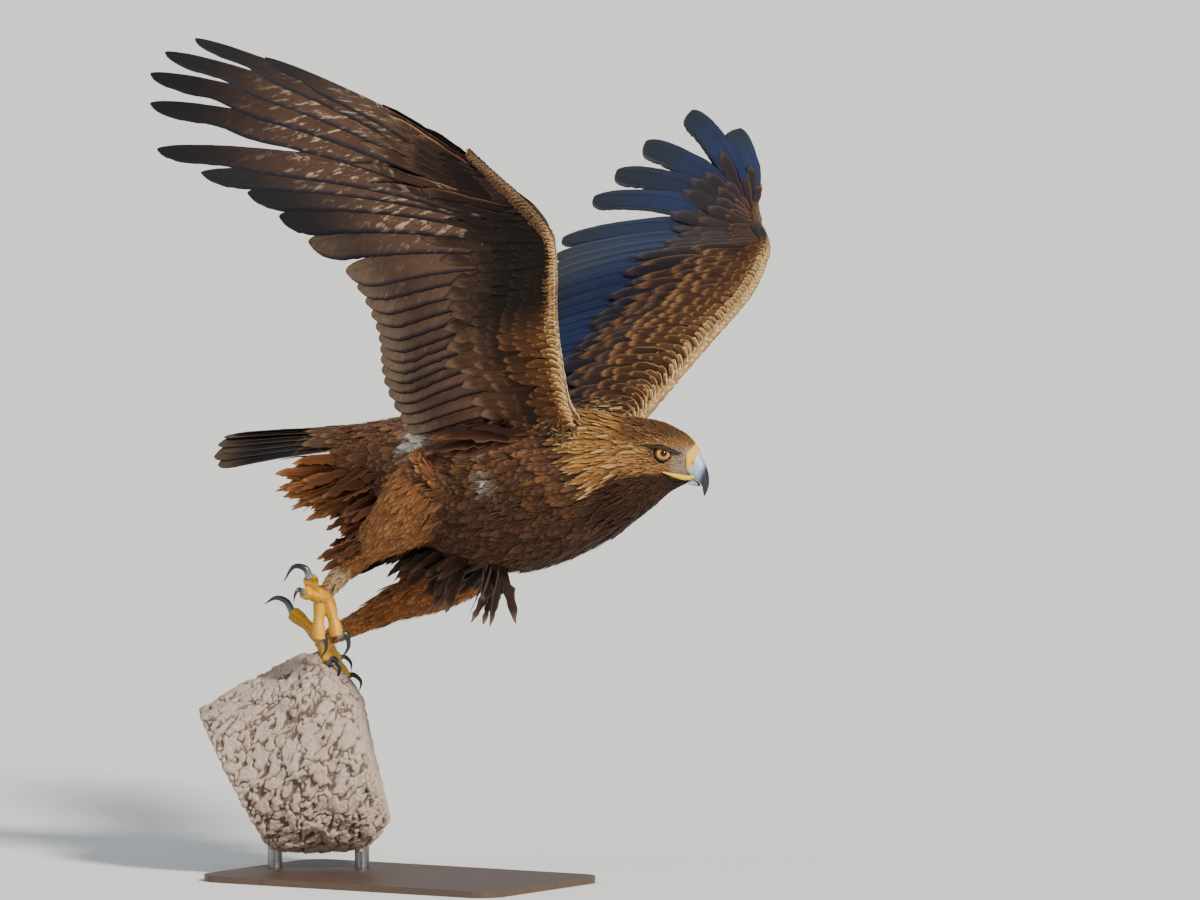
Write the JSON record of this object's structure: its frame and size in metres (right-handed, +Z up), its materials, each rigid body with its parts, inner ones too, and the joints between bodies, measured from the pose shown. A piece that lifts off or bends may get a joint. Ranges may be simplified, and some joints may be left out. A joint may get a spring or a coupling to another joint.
{
  "type": "golden eagle",
  "caption": "Life-size golden eagle taking off from a cut length of cork-oak limb, wings raised, on a flat display base with short rods.",
  "frame": {"origin": "centre of the display base's underside", "axes": "+X forward, the way the bird heads; +Y to the bird's left; +Z up"},
  "size_m": [0.866, 1.3807, 1.2575],
  "materials": {
    "body_plumage": "matte feathers, dark brown with rufous edges",
    "head_plumage": "matte lance-shaped feathers, golden brown",
    "flight_feathers": "satin vanes, blackish brown, paler and mottled below",
    "leg_plumage": "matte short feathers, rufous buff",
    "bill_horn": "polished horn, blue-grey to black, with a yellow cere",
    "claw_horn": "polished black horn, grey at its root",
    "toe_skin": "satin yellow scaled skin",
    "eye": "amber iris and black pupil under a clear cornea",
    "cork_bark": "matte, deeply fissured grey-beige cork bark",
    "stand_base": "dark satin lacquer",
    "stand_rods": "black satin"
  },
  "bodies": {
    "root": {"trunk": "body_plumage", "neck": "head_plumage", "head": "head_plumage", "bill_upper": "bill_horn", "bill_lower": "bill_horn", "eye_right": "eye", "eye_left": "eye", "tail": "flight_feathers", "wing_right_upper_arm": "body_plumage", "wing_right_forearm": "body_plumage", "wing_right_hand": "body_plumage", "wing_right_secondaries": "flight_feathers", "wing_right_primary_1": "flight_feathers", "wing_right_primary_2": "flight_feathers", "wing_right_primary_3": "flight_feathers", "wing_right_primary_4": "flight_feathers", "wing_right_primary_5": "flight_feathers", "wing_right_primary_6": "flight_feathers", "wing_right_primary_7": "flight_feathers", "wing_right_primary_8": "flight_feathers", "wing_right_primary_9": "flight_feathers", "wing_right_primary_10": "flight_feathers", "wing_left_upper_arm": "body_plumage", "wing_left_forearm": "body_plumage", "wing_left_hand": "body_plumage", "wing_left_secondaries": "flight_feathers", "wing_left_primary_1": "flight_feathers", "wing_left_primary_2": "flight_feathers", "wing_left_primary_3": "flight_feathers", "wing_left_primary_4": "flight_feathers", "wing_left_primary_5": "flight_feathers", "wing_left_primary_6": "flight_feathers", "wing_left_primary_7": "flight_feathers", "wing_left_primary_8": "flight_feathers", "wing_left_primary_9": "flight_feathers", "wing_left_primary_10": "flight_feathers", "leg_right_thigh": "leg_plumage", "leg_right_shank": "leg_plumage", "leg_right_foot": "toe_skin", "leg_right_claw_hallux": "claw_horn", "leg_right_claw_inner": "claw_horn", "leg_right_claw_middle": "claw_horn", "leg_right_claw_outer": "claw_horn", "leg_left_thigh": "leg_plumage", "leg_left_shank": "leg_plumage", "leg_left_foot": "toe_skin", "leg_left_claw_hallux": "claw_horn", "leg_left_claw_inner": "claw_horn", "leg_left_claw_middle": "claw_horn", "leg_left_claw_outer": "claw_horn", "perch": "cork_bark", "stand_base": "stand_base", "stand_rod_1": "stand_rods", "stand_rod_2": "stand_rods"}
  },
  "joints": []
}
